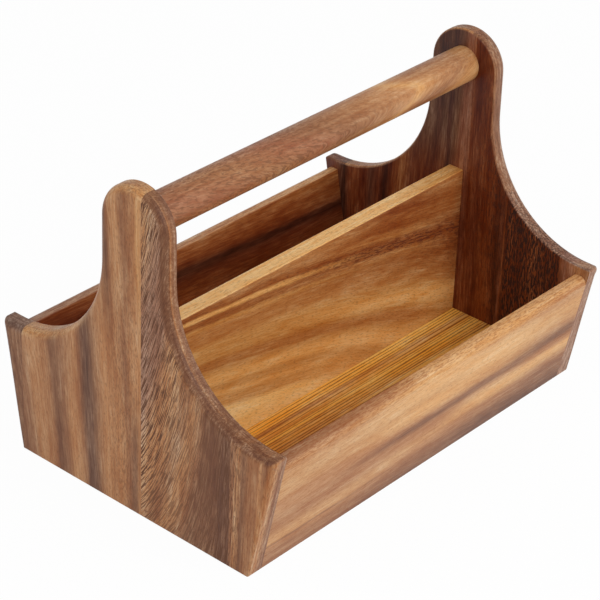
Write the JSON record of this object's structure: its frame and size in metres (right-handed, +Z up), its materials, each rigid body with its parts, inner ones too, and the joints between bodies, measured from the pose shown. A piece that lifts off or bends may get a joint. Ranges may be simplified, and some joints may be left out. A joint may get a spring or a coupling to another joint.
{
  "type": "wooden table caddy",
  "caption": "Open wooden table caddy with sloping sides, a raised divider and a dowel carrying handle between shaped ends, for condiments, cutlery or napkins.",
  "frame": {"origin": "middle of the footprint, on the surface that the caddy stands on", "axes": "+X along the handle, towards the right end; +Y from the front board to the back board; +Z up"},
  "size_m": [0.32, 0.2284, 0.2237],
  "materials": {
    "left_end_back_edge_stave": "satin oil",
    "left_end_back_stave": "satin oil",
    "left_end_front_stave": "satin oil",
    "left_end_front_edge_stave": "satin oil",
    "right_end_back_edge_stave": "satin oil",
    "right_end_back_stave": "satin oil",
    "right_end_middle_stave": "satin oil",
    "right_end_front_stave": "satin oil",
    "right_end_front_edge_stave": "satin oil",
    "front_board": "satin oil",
    "back_board": "satin oil",
    "divider": "satin oil",
    "floor_panel": "satin oil",
    "handle_dowel": "satin oil",
    "pegs": "raw"
  },
  "bodies": {
    "root": {"left_end_back_edge_stave": "left_end_back_edge_stave", "left_end_back_stave": "left_end_back_stave", "left_end_front_stave": "left_end_front_stave", "left_end_front_edge_stave": "left_end_front_edge_stave", "right_end_back_edge_stave": "right_end_back_edge_stave", "right_end_back_stave": "right_end_back_stave", "right_end_middle_stave": "right_end_middle_stave", "right_end_front_stave": "right_end_front_stave", "right_end_front_edge_stave": "right_end_front_edge_stave", "front_board": "front_board", "back_board": "back_board", "divider": "divider", "floor_panel": "floor_panel", "handle_dowel": "handle_dowel", "front_board_left_pegs": "pegs", "front_board_right_pegs": "pegs", "back_board_left_pegs": "pegs", "back_board_right_pegs": "pegs", "divider_left_pegs": "pegs", "divider_right_pegs": "pegs"}
  },
  "joints": []
}
